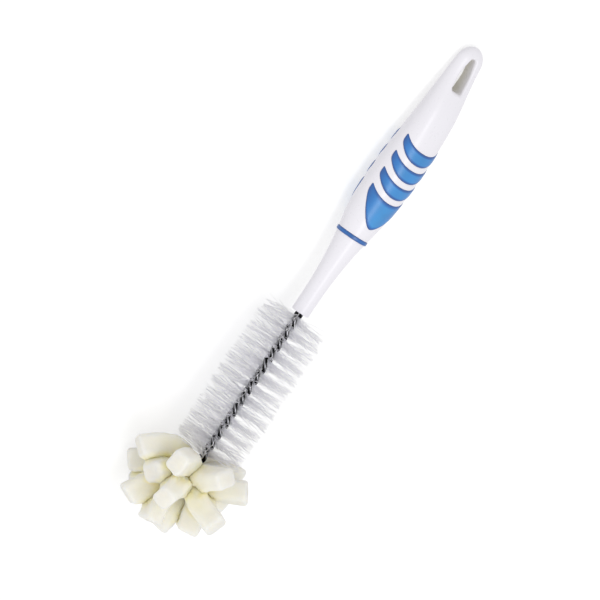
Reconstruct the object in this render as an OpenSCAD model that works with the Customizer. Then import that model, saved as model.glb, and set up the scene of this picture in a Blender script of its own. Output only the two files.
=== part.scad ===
// Bottle brush: moulded handle with soft grip pads, folded and twisted wire,
// a spiral of nylon bristles, and a head of foam strips pinched in the wire.
// The pieces are drawn along the brush's own axis, which runs in +X from the
// hanging end to the foam, with the pads' front face up. lay() then sets the
// whole brush down as it rests, on the hanging end and on two foam ends.

/* [Handle] */
// Length of the grip, from the hanging end to the coloured ring
grip_len = 119.7; // [116:0.1:126]
// Length of the round neck, from the ring to the wire
neck_len = 49.8; // [42:0.1:58]
// Diameter of the neck at its open end
neck_d = 10.4; // [9:0.1:12]
// Diameter of the handle under the ring
collar_d = 17.7; // [16:0.1:20]
// Length of the rounded hanging end
cap_len = 8; // [5:0.5:11]
// Width of the paddle round the hanging slot
paddle_w = 18.2; // [17:0.1:22]
// Thickness of the paddle round the hanging slot
paddle_t = 10; // [9:0.1:13]
// Width of the grip at its widest
grip_w = 26.1; // [24:0.1:29]
// Thickness of the grip at its thickest
grip_t = 23.1; // [21:0.1:25]
// How far the front of the grip bows forward of the axis
grip_bow = 2.6; // [0:0.1:3]

/* [Hanging slot] */
// Where the slot starts, from the hanging end
slot_start = 6.2; // [5:0.1:8]
// Length of the slot
slot_len = 19.8; // [16:0.1:22]
// Width of the slot at its round mouth end
slot_w = 7; // [5:0.1:8]
// Width of the slot at its narrow end
slot_tip_w = 3.4; // [2.5:0.1:4.5]
// Corner radius of the slot's broad end
slot_corner_r = 1.6; // [1:0.1:2.4]

/* [Grip pads] */
// Gap between the ring and the last pad
pad_gap = 6.8; // [4:0.1:10]
// Spacing of the pads along the handle
pad_pitch = 10.7; // [10:0.1:11.2]
// Length of a curved pad at its middle
pad_len = 7.3; // [6:0.1:8.5]
// Length of the tongue, the last pad, at its middle
tongue_len = 17.1; // [15:0.1:19]
// How far the wings sweep back along a pad's upper edge
wing_rise = 5.5; // [3:0.1:7]
// How far the wings sweep back along a pad's lower edge
wing_drop = 8; // [6:0.1:9]
// Angle that a front pad wraps to each side of the middle
pad_wrap = 67; // [55:1:75]
// Angle that a back pad wraps to each side of the middle
back_wrap = 68; // [60:1:75]
// Depth of the recess that a pad is moulded into
pad_depth = 1.2; // [0.8:0.1:1.8]
// Height of the pads above the handle
pad_proud = 0.5; // [0.3:0.05:0.9]
// Width of the coloured ring
ring_w = 2.4; // [1.8:0.1:3.6]
// Height of the ring above the handle
ring_proud = 0.5; // [0.3:0.05:0.9]

/* [Wire] */
// Diameter of the wire
wire_d = 2.2; // [1.8:0.05:2.4]
// Length of wire held inside the neck
wire_seat = 24; // [16:0.5:30]
// Length of one full turn of the twist
lay_len = 14.2; // [12:0.1:17]

/* [Bristles] */
// Length of the bristled part
bristle_len = 93; // [80:1:110]
// Diameter of the brush over the bristle tips
bristle_d = 42; // [36:0.5:46]
// Thickness of the row of filaments held between the strands
bristle_t = 0.2; // [0.15:0.01:0.24]
// Spacing of the tufts along the wire
tuft_pitch = 0.44; // [0.4:0.01:0.8]

/* [Foam] */
// Width of a foam strip, along the wire
foam_w = 12.6; // [11:0.1:14]
// Thickness of a foam strip, round the wire
foam_t = 10.5; // [9:0.1:11.5]
// Usual reach of a foam end from the wire's axis
foam_reach = 33; // [30:0.5:36]
// Spacing of the foam strips along the wire
foam_pitch = 2; // [1.8:0.05:2.4]
// Gap between the last bristles and the first strip, along the wire
foam_gap = 3.5; // [2.5:0.1:5]

/* [Fits] */
// Clearance between pieces that seat in one another
fit = 0.06; // [0.03:0.01:0.12]

/* [Hidden] */
PADS = [1, 2, 3, 4];
STRIPS = [1, 2, 3, 4, 5, 6, 7, 8, 9];

// ---- Helpers ----

// Unit vector round the brush's axis: 0 is up, out of the front, 90 is +Y
function around(angle) = [0, sin(angle), cos(angle)];
function unit(v) = v / norm(v);
function clamp(v, low, high) = min(max(v, low), high);
function sweep_angle(from, to) = ((to - from + 540) % 360) - 180;

// Smooth curve through rows of [x, value, value ...], read in one column
function slope(rows, i, c) =
    i == 0 ? (rows[1][c] - rows[0][c]) / (rows[1][0] - rows[0][0]) :
    i == len(rows) - 1 ? (rows[i][c] - rows[i - 1][c]) / (rows[i][0] - rows[i - 1][0]) :
    (rows[i + 1][c] - rows[i - 1][c]) / (rows[i + 1][0] - rows[i - 1][0]);
function span_of(rows, x, i = 0) =
    i >= len(rows) - 2 || x < rows[i + 1][0] ? i : span_of(rows, x, i + 1);
function curve(rows, x, c) =
    let (
        i = span_of(rows, x),
        h = rows[i + 1][0] - rows[i][0],
        t = clamp((x - rows[i][0]) / h, 0, 1)
    )
    (2 * t^3 - 3 * t^2 + 1) * rows[i][c] + (t^3 - 2 * t^2 + t) * h * slope(rows, i, c)
    + (3 * t^2 - 2 * t^3) * rows[i + 1][c] + (t^3 - t^2) * h * slope(rows, i + 1, c);

// Solid through a list of rings that hold the same number of points
module loft(rings) {
    n = len(rings[0]);
    last = (len(rings) - 1) * n;
    sides = [
        for (i = [0:len(rings) - 2], j = [0:n - 1], half = [0, 1])
            let (a = i * n + j, b = i * n + (j + 1) % n)
            half == 0 ? [a, b, b + n] : [a, b + n, a + n]
    ];
    first_cap = [for (j = [1:n - 2]) [0, j + 1, j]];
    last_cap = [for (j = [1:n - 2]) [last, last + j, last + j + 1]];
    polyhedron([for (ring = rings) each ring], concat(sides, first_cap, last_cap));
}

// ---- Handle form ----

// Sections along the grip: place, width, thickness, bow and squareness
shoulder_x = 0.35 * grip_len;
belly_x = 0.65 * grip_len;
hip_x = 0.87 * grip_len;
sections = [
    [0, paddle_w - 3.6, paddle_t - 1.4, 0, 2.2],
    [0.14 * grip_len, paddle_w, paddle_t, 0.25 * grip_bow, 2.3],
    [shoulder_x, (paddle_w + 3 * grip_w) / 4 - 1.2, (paddle_t + grip_t) / 2, grip_bow, 2.35],
    [belly_x, grip_w, grip_t, 0.5 * grip_bow, 2.15],
    [hip_x, (2 * grip_w + collar_d) / 3 + 0.3, (3 * grip_t + collar_d) / 4 + 0.1, 0, 2.05],
    [grip_len, collar_d, collar_d, 0, 2],
];
function cap(x) = x < cap_len ? sqrt(1 - (1 - x / cap_len)^2) : 1;
function half_w(x) = cap(x) * curve(sections, x, 1) / 2;
function half_t(x) = cap(x) * curve(sections, x, 2) / 2;
function bow(x) = curve(sections, x, 3);
function rounded(v, power) = sign(v) * pow(abs(v), 2 / power);

// Point on the grip at a place and an angle, raised by off from the surface
function on_grip(x, angle, off = 0) =
    let (power = curve(sections, x, 4))
    [
        x,
        (half_w(x) + off) * rounded(sin(angle), power),
        bow(x) + (half_t(x) + off) * rounded(cos(angle), power)
    ];

grip_sides = 28;
cap_steps = [12, 24, 36, 48, 60, 75];
grip_step = 4.6;
grip_rings = concat(
    [for (b = cap_steps) cap_len * (1 - cos(b))],
    [for (x = [cap_len:grip_step:grip_len - grip_step / 2]) x],
    [grip_len]
);

module grip() {
    loft([for (x = grip_rings) [for (j = [0:grip_sides - 1]) on_grip(x, 360 * j / grip_sides)]]);
}

// Neck radius falls from the collar to the open end in one hollow curve
neck_steps = 12;
neck_straight = 5;
function neck_r(s) =
    let (run = neck_len - neck_straight)
    neck_d / 2 + (collar_d - neck_d) / 2 * pow(clamp((run - s) / run, 0, 1), 2.3);

module neck() {
    steps = [for (i = [0:neck_steps]) (neck_len - neck_straight) * i / neck_steps];
    outline = concat(
        [[0, -ring_w], [collar_d / 2 - 1, -ring_w], [collar_d / 2 - 1, 0]],
        [for (s = steps) [neck_r(s), s]],
        [[neck_d / 2, neck_len - 0.5], [neck_d / 2 - 0.5, neck_len], [0, neck_len]]
    );
    translate([grip_len, 0, 0]) rotate([0, 90, 0]) rotate_extrude($fn = 64) polygon(outline);
}

// Slot outline, a long drop: round at the hanging end, broad at the other
slot_steps = 6;
module slot_outline() {
    tip_r = slot_tip_w / 2;
    tip_x = slot_start + tip_r;
    full_x = slot_start + 0.62 * slot_len;
    end_x = slot_start + slot_len;
    corner_x = end_x - slot_corner_r;
    swell = [for (i = [0:slot_steps]) let (u = i / slot_steps)
        [tip_x + (full_x - tip_x) * u, tip_r + (slot_w / 2 - tip_r) * sin(90 * u)]];
    translate([tip_x, 0]) circle(tip_r, $fn = 32);
    polygon(concat(
        swell,
        [[corner_x, slot_w / 2], [corner_x, -slot_w / 2]],
        [for (i = [slot_steps:-1:0]) [swell[i][0], -swell[i][1]]]
    ));
    for (side = [-1, 1]) translate([corner_x, side * (slot_w / 2 - slot_corner_r)])
        circle(slot_corner_r, $fn = 32);
    translate([corner_x - slot_corner_r, slot_corner_r - slot_w / 2])
        square([2 * slot_corner_r, slot_w - 2 * slot_corner_r]);
}

module hanging_slot() {
    reach = paddle_t + grip_bow;
    translate([0, 0, -reach]) linear_extrude(2 * reach) slot_outline();
}

// ---- Grip pads ----

pad_columns = 14;
wing_ends = [0.62, 0.9];
pad_last_top = grip_len - ring_w / 2 - pad_gap - tongue_len;
function pad_top(i) = pad_last_top - (len(PADS) - i) * pad_pitch;
function pad_middle(i) = i == len(PADS) ? tongue_len : pad_len;
function lower_sweep(i) = i == len(PADS) ? wing_drop + tongue_len - pad_len : wing_drop;
function lower_power(i) = i == len(PADS) ? 1.7 : 2;

// Ends of pad i at a part u of its wrap, as [upper, lower]; the wing ends are rounded off
function pad_ends(i, u) =
    let (
        top = pad_top(i) - wing_rise * u^2,
        low = pad_top(i) + pad_middle(i) - lower_sweep(i) * pow(u, lower_power(i)),
        round_off = u > 0.99 ? wing_ends[0] : u > 0.9 ? wing_ends[1] : 1,
        middle = (top + low) / 2
    )
    [middle - (middle - top) * round_off, middle + (low - middle) * round_off];

// Ring of points through pad i: flat seat, soft shoulders, raised face
function pad_section(i, u, at, grow, floor_off, edge_off, face_off) =
    let (
        ends = pad_ends(i, abs(u)),
        up = ends[0] - grow,
        down = ends[1] + grow,
        shoulder = min(0.9, (down - up) / 4)
    )
    [
        on_grip(up, at, floor_off), on_grip(up, at, edge_off), on_grip(up + shoulder, at, face_off),
        on_grip(down - shoulder, at, face_off), on_grip(down, at, edge_off), on_grip(down, at, floor_off)
    ];
// The pads stand proud in the middle and run out nearly flush at the wings
function swell(u) = 1 - 0.75 * u^4;
pad_parts = [for (j = [0:pad_columns]) sin(90 * (1 - 2 * j / pad_columns))];
function wrap(turn) = turn == 0 ? pad_wrap : back_wrap;

// turn is 0 for a front pad and 180 for a back one; grow opens a recess round the pad
module pad_form(i, turn, grow, floor_off, edge_off, face_off) {
    extra = grow / (PI / 180 * grip_w / 2);
    loft([for (u = pad_parts)
        pad_section(i, u, turn + u * (wrap(turn) + extra), grow, floor_off, edge_off * swell(u), face_off * swell(u))]);
}

module pad_recess(i, turn) {
    pad_form(i, turn, 2.5 * fit, -pad_depth - fit, 1.5, 1.5);
}

module grip_pad(i, turn) {
    color("dodgerblue") pad_form(i, turn, 0, -pad_depth, 0.5 * pad_proud, pad_proud);
}

// ---- Ring and wire seat ----

strand_r = wire_d / 2 + bristle_t / 2 + 0.12;
wire_r = strand_r + wire_d / 2;
ring_seat_r = collar_d / 2 - 1;

module neck_ring() {
    inner = ring_seat_r + fit;
    outer = collar_d / 2 + ring_proud;
    soft = 0.4;
    color("dodgerblue") translate([grip_len, 0, 0]) rotate([0, 90, 0]) rotate_extrude($fn = 64) polygon([
        [inner, -ring_w / 2 + fit], [outer - soft, -ring_w / 2 + fit], [outer, -ring_w / 2 + soft],
        [outer, ring_w / 2 - soft], [outer - soft, ring_w / 2 - fit], [inner, ring_w / 2 - fit]
    ]);
}

module ring_groove() {
    translate([grip_len, 0, 0]) rotate([0, 90, 0]) difference() {
        cylinder(r = collar_d, h = ring_w, center = true, $fn = 64);
        cylinder(r = ring_seat_r, h = ring_w + 1, center = true, $fn = 64);
    }
}

module wire_bore() {
    // The cut ends of the strands are square to the strands, so they reach past the seat
    depth = wire_seat + wire_d / 2;
    translate([grip_len + neck_len - depth, 0, 0]) rotate([0, 90, 0])
        cylinder(r = wire_r + fit, h = depth + 1, $fn = 48);
}

module handle() {
    color("white") difference() {
        union() {
            grip();
            neck();
        }
        hanging_slot();
        ring_groove();
        wire_bore();
        for (i = PADS, turn = [0, 180]) pad_recess(i, turn);
    }
}

// ---- Wire ----

wire_start = grip_len + neck_len - wire_seat;
bristle_start = grip_len + neck_len + 1.2;
bristle_end = bristle_start + bristle_len;
first_pinch = bristle_end + foam_gap;
last_pinch = first_pinch + (len(STRIPS) - 1) * foam_pitch;
ease_start = last_pinch + foam_pitch / 2;
bend_x = ease_start + 1.5 * foam_pitch;
first_strip_angle = -118;

// Direction of the gap between the strands; the twist eases off before the bend
function gap_angle(x) =
    let (over = max(x - ease_start, 0), run = bend_x - ease_start)
    first_strip_angle + 360 / lay_len * (min(x, ease_start) - first_pinch + over - over^2 / (2 * run));
function twist_rate(x) =
    PI / 180 * 360 / lay_len * (1 - max(x - ease_start, 0) / (bend_x - ease_start));

wire_sides = 8;
rings_per_turn = 10;
strand_steps = ceil((bend_x - wire_start) / (lay_len / rings_per_turn));
bend_angles = [30, 60, 90, 120, 150];

// Each station is [centre, outward normal, tangent]
function strand_station(x, side) =
    let (angle = gap_angle(x) + 90 * side, out = around(angle))
    [
        [x, 0, 0] + strand_r * out,
        out,
        unit(side * ([1, 0, 0] + strand_r * twist_rate(x) * around(angle + 90)))
    ];
function bend_station(b) =
    let (out = around(gap_angle(bend_x) + 90), n = cos(b) * out + [sin(b), 0, 0])
    [[bend_x, 0, 0] + strand_r * n, n, unit([cos(b), 0, 0] - sin(b) * out)];
function strand_x(i) = wire_start + (bend_x - wire_start) * i / strand_steps;

wire_stations = concat(
    [for (i = [0:strand_steps]) strand_station(strand_x(i), 1)],
    [for (b = bend_angles) bend_station(b)],
    [for (i = [strand_steps:-1:0]) strand_station(strand_x(i), -1)]
);

module wire_stem() {
    color("dimgray") loft([for (s = wire_stations)
        [for (j = [0:wire_sides - 1])
            let (a = 360 * (j + 0.5) / wire_sides, r = wire_d / 2)
            s[0] + r * cos(a) * s[1] + r * sin(a) * cross(s[1], s[2])]]);
}

// ---- Bristles ----

// The filaments pass straight through between the strands, so they stand as a
// twisted double fan. Each tuft is one tooth on each side of a narrow ribbon.
ribbon_r = 0.68 * wire_d;
tuft_w = 0.62 * tuft_pitch;
tuft_tip_w = 1.14 * tuft_pitch;
tufts = floor(bristle_len / tuft_pitch);
splay_len = 0.13 * bristle_len;
start_splay = 0.08 * bristle_d;
end_splay = 0.155 * bristle_d;
function tuft_x(i) = bristle_start + i * tuft_pitch;
// Tips lean away from the neck at one end and away from the foam at the other
function lean_at(x) =
    start_splay * pow(clamp(1 - (x - bristle_start) / splay_len, 0, 1), 2)
    - end_splay * pow(clamp(1 - (bristle_end - x) / splay_len, 0, 1), 2);
function tip_r(i, side) =
    let (x = tuft_x(i), ragged = bristle_d / 60 * abs(sin(137 * i + 50 * side)))
    bristle_d / 2 - ragged - bristle_d / 17.5 * pow(clamp(1 - (x - bristle_start) / splay_len, 0, 1), 1.5);

function ribbon_point(x, side, face) =
    let (angle = gap_angle(x))
    [x, 0, 0] + side * ribbon_r * around(angle) + face * bristle_t / 2 * around(angle + 90);
function tip_point(i, side, end) =
    let (x = tuft_x(i) + tuft_w / 2)
    [x + lean_at(x) + end * tuft_tip_w / 2, 0, 0] + side * tip_r(i, side) * around(gap_angle(x));

// Twelve points a tuft: eight on the ribbon and four at the tips
function tuft_points(i) = concat(
    [for (x = [tuft_x(i), tuft_x(i) + tuft_w], side = [-1, 1], face = [-1, 1]) ribbon_point(x, side, face)],
    [for (side = [-1, 1], end = [-1, 1]) tip_point(i, side, end)]
);
function quad(a, b, c, d) = [[a, c, b], [a, d, c]];
// Ribbon faces between two stations, whose four points start at p and at q
function ribbon_faces(p, q) = concat(quad(p + 1, p + 3, q + 3, q + 1), quad(p + 2, p, q, q + 2));
function tooth_faces(p, q, tip, side) =
    let (lo = side < 0 ? 0 : 2, hi = lo + 1)
    side < 0
        ? concat(
            quad(p + hi, q + hi, tip + 1, tip), quad(q + lo, p + lo, tip, tip + 1),
            [[p + lo, tip, p + hi], [q + hi, tip + 1, q + lo]])
        : concat(
            quad(q + hi, p + hi, tip, tip + 1), quad(p + lo, q + lo, tip + 1, tip),
            [[p + hi, tip, p + lo], [q + lo, tip + 1, q + hi]]);
function tuft_faces(i) =
    let (p = 12 * i, q = p + 4, next = p + 12)
    concat(
        ribbon_faces(p, q),
        tooth_faces(p, q, p + 8, -1),
        tooth_faces(p, q, p + 10, 1),
        i == tufts - 1 ? [] : concat(
            ribbon_faces(q, next),
            quad(q, q + 1, next + 1, next), quad(q + 3, q + 2, next + 2, next + 3))
    );

module bristles() {
    end = 12 * (tufts - 1) + 4;
    color("white") polyhedron(
        [for (i = [0:tufts - 1]) each tuft_points(i)],
        concat(
            [for (i = [0:tufts - 1]) each tuft_faces(i)],
            quad(0, 2, 3, 1), quad(end, end + 1, end + 3, end + 2)
        )
    );
}

// ---- Foam strips ----

// Each strip is pinched flat where it passes between the strands, so it stands
// as two petals. A petal is [angle round the axis, lean towards the tip, reach,
// bulge of its middle towards the tip, turn about its own length, distance from
// the axis at which it bends], with its three lengths as parts of foam_reach.
foam_layout = [
    [[-102, 14, 1.076, -0.182, 36, 0.515], [96.6, -6.6, 0.853, -0.105, -2, 0.509]],
    [[-53.4, 0.7, 0.989, -0.133, -11, 0.384], [133, -4, 0.967, -0.006, -2, 0.474]],
    [[-4, -15.5, 1.021, 0.047, -51, 0.364], [172, 1, 0.896, 0.009, -2, 0.438]],
    [[46.1, -14.9, 0.974, 0.025, -28, 0.51], [219.8, 22.9, 1.088, 0.011, 3, 0.515]],
    [[80.7, 6.3, 0.818, 0.029, -4, 0.431], [-78.8, 15.6, 0.845, 0.056, -48, 0.515]],
    [[125.2, 14.2, 0.993, 0.116, -2, 0.399], [-45.3, 21.6, 1.014, 0.109, -19, 0.457]],
    [[195.5, 27, 1.062, 0.333, -48, 0.383], [18, 14.3, 1.038, 0.144, -20, 0.515]],
    [[-106.3, 40.3, 0.958, 0.197, 24, 0.515], [61.5, 53.1, 0.767, 0.117, 21, 0.415]],
    [[-56.1, 58.6, 0.803, 0.406, -25, 0.377], [137.6, 61.6, 0.86, 0.266, 30, 0.302]],
];
pinch_r = wire_r + 0.14 * wire_d;
pinch_w = 0.08 * foam_w;
pinch_t = 0.02 * foam_t;
spread_run = 0.45 * foam_reach;
petal_rings = 6;
foam_corner = 0.12;

function pinch_x(k) = first_pinch + (k - 1) * foam_pitch;
// Middle line of a petal: out of the wire, past one control point, to its end
function petal_curve(k, side) =
    let (
        row = foam_layout[k - 1][side],
        start = gap_angle(pinch_x(k)) + 180 * side,
        turn = sweep_angle(start, row[0]),
        reach = foam_reach * row[2],
        middle_r = min(foam_reach * row[5], 0.9 * reach * cos(row[1])),
        root = [pinch_x(k), 0, 0]
    )
    [
        root + pinch_r * around(start),
        root + [foam_reach * row[3], 0, 0] + middle_r * around(start + turn / 2),
        root + reach * (cos(row[1]) * around(row[0]) + [sin(row[1]), 0, 0])
    ];
function petal_ring(line, t, turn, side) =
    let (
        place = (1 - t)^2 * line[0] + 2 * t * (1 - t) * line[1] + t^2 * line[2],
        along = unit((1 - t) * (line[1] - line[0]) + t * (line[2] - line[1])),
        level = unit([1, 0, 0] - along[0] * along),
        flip = side == 0 ? 1 : -1,
        across = flip * cross(along, level),
        a = flip * turn * t,
        wide = cos(a) * level + sin(a) * across,
        thick = cos(a) * across - sin(a) * level,
        opened = pow(min(t * norm(line[2] - line[0]) / spread_run, 1), 0.55),
        w = (pinch_w + (foam_w - pinch_w) * opened) / 2,
        h = (pinch_t + (foam_t - pinch_t) * opened) / 2,
        c = 2 * foam_corner * min(w, h)
    )
    [for (p = [[w, c - h], [w, h - c], [w - c, h], [c - w, h], [-w, h - c], [-w, c - h], [c - w, -h], [w - c, -h]])
        place + p[0] * wide + p[1] * thick];
function petal(k, side) =
    let (line = petal_curve(k, side), turn = foam_layout[k - 1][side][4])
    [for (i = [0:petal_rings]) petal_ring(line, i / petal_rings, turn, side)];
function strip_rings(k) =
    let (first = petal(k, 0))
    concat([for (i = [petal_rings:-1:0]) first[i]], petal(k, 1));

module foam_strip(k) {
    color("ivory") loft(strip_rings(k));
}

// ---- Resting place ----

foam_points = [for (k = STRIPS, ring = strip_rings(k)) each ring];
low_foam = [for (p = foam_points) if (p[2] < -foam_reach / 2) p];
back_line = [for (x = grip_rings)
    [x, 0, bow(x) - half_t(x) - (x > pad_ends(1, 1)[0] ? pad_proud : 0)]];
// Slope of the floor under the brush: the line that all of the back stays above
floor_slope = max([for (g = back_line) min([for (f = low_foam) (f[2] - g[2]) / (f[0] - g[0])])]);
rest_tilt = -atan(floor_slope);
function laid(p) = [
    p[0] * cos(rest_tilt) - p[2] * sin(rest_tilt),
    p[1],
    p[0] * sin(rest_tilt) + p[2] * cos(rest_tilt)
];
laid_foam = [for (p = foam_points) laid(p)];
laid_back = [for (p = back_line) laid(p)];
laid_end = laid(on_grip(grip_rings[0], 0));
x_low = min(laid_end[0], min([for (p = laid_back) p[0]]));
x_high = max([for (p = laid_foam) p[0]]);
y_low = min([for (p = laid_foam) p[1]]);
y_high = max([for (p = laid_foam) p[1]]);
z_low = min(min([for (p = laid_foam) p[2]]), min([for (p = laid_back) p[2]]));

module lay() {
    translate([-(x_low + x_high) / 2, -(y_low + y_high) / 2, -z_low]) rotate([0, -rest_tilt, 0]) children();
}

lay() handle();
lay() neck_ring();
lay() wire_stem();
lay() bristles();
for (i = PADS) lay() grip_pad(i, 0);
for (i = PADS) lay() grip_pad(i, 180);
for (k = STRIPS) lay() foam_strip(k);
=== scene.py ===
"""Bottle brush: white moulded handle with soft blue grip pads, twisted wire,
a helical fan of nylon bristles and a head of cut foam strips."""
import bmesh
import bpy
import math
import numpy as np
from mathutils import Matrix, Vector, noise
from mathutils.bvhtree import BVHTree


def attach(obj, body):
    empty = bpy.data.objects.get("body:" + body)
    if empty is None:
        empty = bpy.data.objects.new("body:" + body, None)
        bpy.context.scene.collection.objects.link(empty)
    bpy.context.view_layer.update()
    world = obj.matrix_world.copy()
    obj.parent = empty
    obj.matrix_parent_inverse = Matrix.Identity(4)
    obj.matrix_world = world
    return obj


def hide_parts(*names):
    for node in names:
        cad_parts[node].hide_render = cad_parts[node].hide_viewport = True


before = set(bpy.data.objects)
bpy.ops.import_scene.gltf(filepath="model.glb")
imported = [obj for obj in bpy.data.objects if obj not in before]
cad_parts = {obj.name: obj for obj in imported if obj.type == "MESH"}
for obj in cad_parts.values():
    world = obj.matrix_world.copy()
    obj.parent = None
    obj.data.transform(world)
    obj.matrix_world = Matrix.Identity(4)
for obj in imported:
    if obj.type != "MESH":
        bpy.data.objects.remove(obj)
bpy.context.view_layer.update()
scene = bpy.context.scene

# ---- Sizes, in millimetres along the brush's own axis ----
GRIP_LEN, NECK_LEN, NECK_D, COLLAR_D, CAP_LEN = 119.7, 49.8, 10.4, 17.7, 8.0
PADDLE_W, PADDLE_T, GRIP_W, GRIP_T, BOW = 18.2, 10.0, 26.1, 23.1, 2.6
SLOT_START, SLOT_LEN, SLOT_W, SLOT_TIP_W, SLOT_CORNER = 6.2, 19.8, 7.0, 3.4, 1.6
PAD_GAP, PAD_PITCH, PAD_LEN, TONGUE_LEN = 6.8, 10.7, 7.3, 17.1
WING_RISE, WING_DROP, FRONT_WRAP, BACK_WRAP = 5.5, 8.0, 67.0, 68.0
PAD_DEPTH, PAD_PROUD, RING_W, RING_PROUD = 1.2, 0.5, 2.4, 0.5
WIRE_D, WIRE_SEAT, LAY_LEN = 2.2, 24.0, 14.2
BRISTLE_LEN, BRISTLE_D, BRISTLE_T = 93.0, 42.0, 0.2
FOAM_W, FOAM_T, FOAM_REACH, FOAM_PITCH, FOAM_GAP = 12.6, 10.5, 33.0, 2.0, 3.5
FIT = 0.06
PADS, PAD_COLUMNS, WING_CORNER, SHOULDER = (1, 2, 3, 4), 72, 1.25, 1.1
# The part of its length at which the slot reaches its full width
SLOT_FULL = 0.62
# The neck's straight end, the rounding of its lip and the chamfer of its bore
NECK_STRAIGHT, LIP_R, BORE_CHAMFER = 5.0, 0.55, 0.3
RING_SEAT_R = COLLAR_D / 2 - 1
# Angles of the points round the handle, the neck and the ring
ROUND = np.linspace(0, 360, 160, endpoint=False)

STRAND_GAP, BRISTLE_GAP, STRIPS = 0.12, 1.2, 9
STRAND_R = WIRE_D / 2 + BRISTLE_T / 2 + STRAND_GAP
WIRE_R = STRAND_R + WIRE_D / 2
NECK_END = GRIP_LEN + NECK_LEN
BRISTLE_START = NECK_END + BRISTLE_GAP
BRISTLE_END = BRISTLE_START + BRISTLE_LEN
FIRST_PINCH = BRISTLE_END + FOAM_GAP
LAST_PINCH = FIRST_PINCH + (STRIPS - 1) * FOAM_PITCH
# The twist eases off over the last 3 mm, from 1 mm past the last strip
EASE_START = LAST_PINCH + 1
BEND_X = EASE_START + 3
FIRST_ANGLE = -118

# How the brush lies on the floor: its tilt and the place of its own origin
TILT = math.radians(5.62148)
PLACE = np.array([-154.5468, 4.0073, 3.5241])


def turned(v):
    """A direction along the brush's own axes, as it lies on the floor."""
    v = np.asarray(v, float)
    c, s = math.cos(TILT), math.sin(TILT)
    return np.stack([v[..., 0] * c - v[..., 2] * s, v[..., 1], v[..., 0] * s + v[..., 2] * c], -1)


def laid(points):
    """Points in millimetres along the brush, set down on the floor in metres."""
    return (turned(points) + PLACE) / 1000


def brush_place(points):
    """Back from the floor in metres to millimetres along the brush's own axes."""
    p = np.asarray(points) * 1000 - PLACE
    c, s = math.cos(TILT), math.sin(TILT)
    return np.stack([p[:, 0] * c + p[:, 2] * s, p[:, 1], p[:, 2] * c - p[:, 0] * s], -1)


def around(angle):
    """Unit vectors round the brush's axis: 0 is up, out of the front."""
    a = np.radians(angle)
    return np.stack([np.zeros_like(a), np.sin(a), np.cos(a)], -1)


def unit(v):
    """Directions of length 1."""
    return v / np.linalg.norm(v, axis=-1, keepdims=True)


def round_ring(x, r):
    """A ring of points round the brush's axis."""
    return np.array([x, 0, 0]) + r * around(ROUND)


# ---- Meshes ----

def piece_of(name, points, faces):
    """An object at the origin with these points in metres and smooth faces pointing outwards."""
    mesh = bpy.data.meshes.new(name)
    mesh.from_pydata(np.asarray(points).tolist(), [], faces)
    work = bmesh.new()
    work.from_mesh(mesh)
    bmesh.ops.recalc_face_normals(work, faces=work.faces)
    work.to_mesh(mesh)
    work.free()
    piece = bpy.data.objects.new(name, mesh)
    scene.collection.objects.link(piece)
    soften(piece)
    return piece


def soften(piece, crease=32):
    """Smooth shading with a hard line wherever two faces meet past the crease angle."""
    work = bmesh.new()
    work.from_mesh(piece.data)
    for face in work.faces:
        face.smooth = True
    for edge in work.edges:
        edge.smooth = not (edge.is_manifold and edge.calc_face_angle(0) > math.radians(crease))
    work.to_mesh(piece.data)
    work.free()


def skin(rings, start_pole=None, end_pole=None, ring_closed=False):
    """Points and faces of a tube through rings of equal count; poles close its ends."""
    rings = np.asarray(rings)
    count, n = rings.shape[:2]
    points = rings.reshape(-1, 3)
    faces = []
    for i in range(count if ring_closed else count - 1):
        a, b = i * n, ((i + 1) % count) * n
        faces += [[a + j, a + (j + 1) % n, b + (j + 1) % n, b + j] for j in range(n)]
    for pole, base in ((start_pole, 0), (end_pole, (count - 1) * n)):
        if pole is not None:
            points = np.vstack([points, pole])
            faces += [[base + (j + 1) % n, base + j, len(points) - 1] for j in range(n)]
    return points, faces


def flat_ended(rings):
    """A tube through rings as it lies on the floor, each end closed by one flat face."""
    n = len(rings[0])
    shell, faces = skin(laid(rings))
    faces += [list(range(n))[::-1], [len(shell) - n + j for j in range(n)]]
    return shell, faces


def store(piece, name, values):
    """Keeps one number for each point of a piece, for its material or its sweep to read."""
    mark = piece.data.attributes.new(name, "FLOAT", "POINT")
    mark.data.foreach_set("value", np.asarray(values).astype(np.float32))


def carved(piece, cutters):
    """The piece with every cutter taken out of it, as a plain mesh."""
    for cutter in cutters:
        cut = piece.modifiers.new(cutter.name, "BOOLEAN")
        cut.operation, cut.object, cut.solver = "DIFFERENCE", cutter, "MANIFOLD"
    bpy.context.view_layer.update()
    solid = piece.evaluated_get(bpy.context.evaluated_depsgraph_get())
    mesh = bpy.data.meshes.new_from_object(solid)
    piece.modifiers.clear()
    mesh.materials.clear()
    piece.data = mesh
    for cutter in cutters:
        bpy.data.objects.remove(cutter)
    soften(piece)
    return piece


# ---- Handle form ----

# Sections along the grip: place, width, depth, rise of the middle, and power of the rounding
SECTIONS = np.array([
    [0, PADDLE_W - 3.6, PADDLE_T - 1.4, 0, 2.2],
    [0.14 * GRIP_LEN, PADDLE_W, PADDLE_T, 0.25 * BOW, 2.3],
    [0.35 * GRIP_LEN, (PADDLE_W + 3 * GRIP_W) / 4 - 1.2, (PADDLE_T + GRIP_T) / 2, BOW, 2.35],
    [0.65 * GRIP_LEN, GRIP_W, GRIP_T, 0.5 * BOW, 2.15],
    [0.87 * GRIP_LEN, (2 * GRIP_W + COLLAR_D) / 3 + 0.3, (3 * GRIP_T + COLLAR_D) / 4 + 0.1,
     0, 2.05],
    [GRIP_LEN, COLLAR_D, COLLAR_D, 0, 2],
])
WIDTH, DEPTH, RISE, POWER = 1, 2, 3, 4


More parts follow.
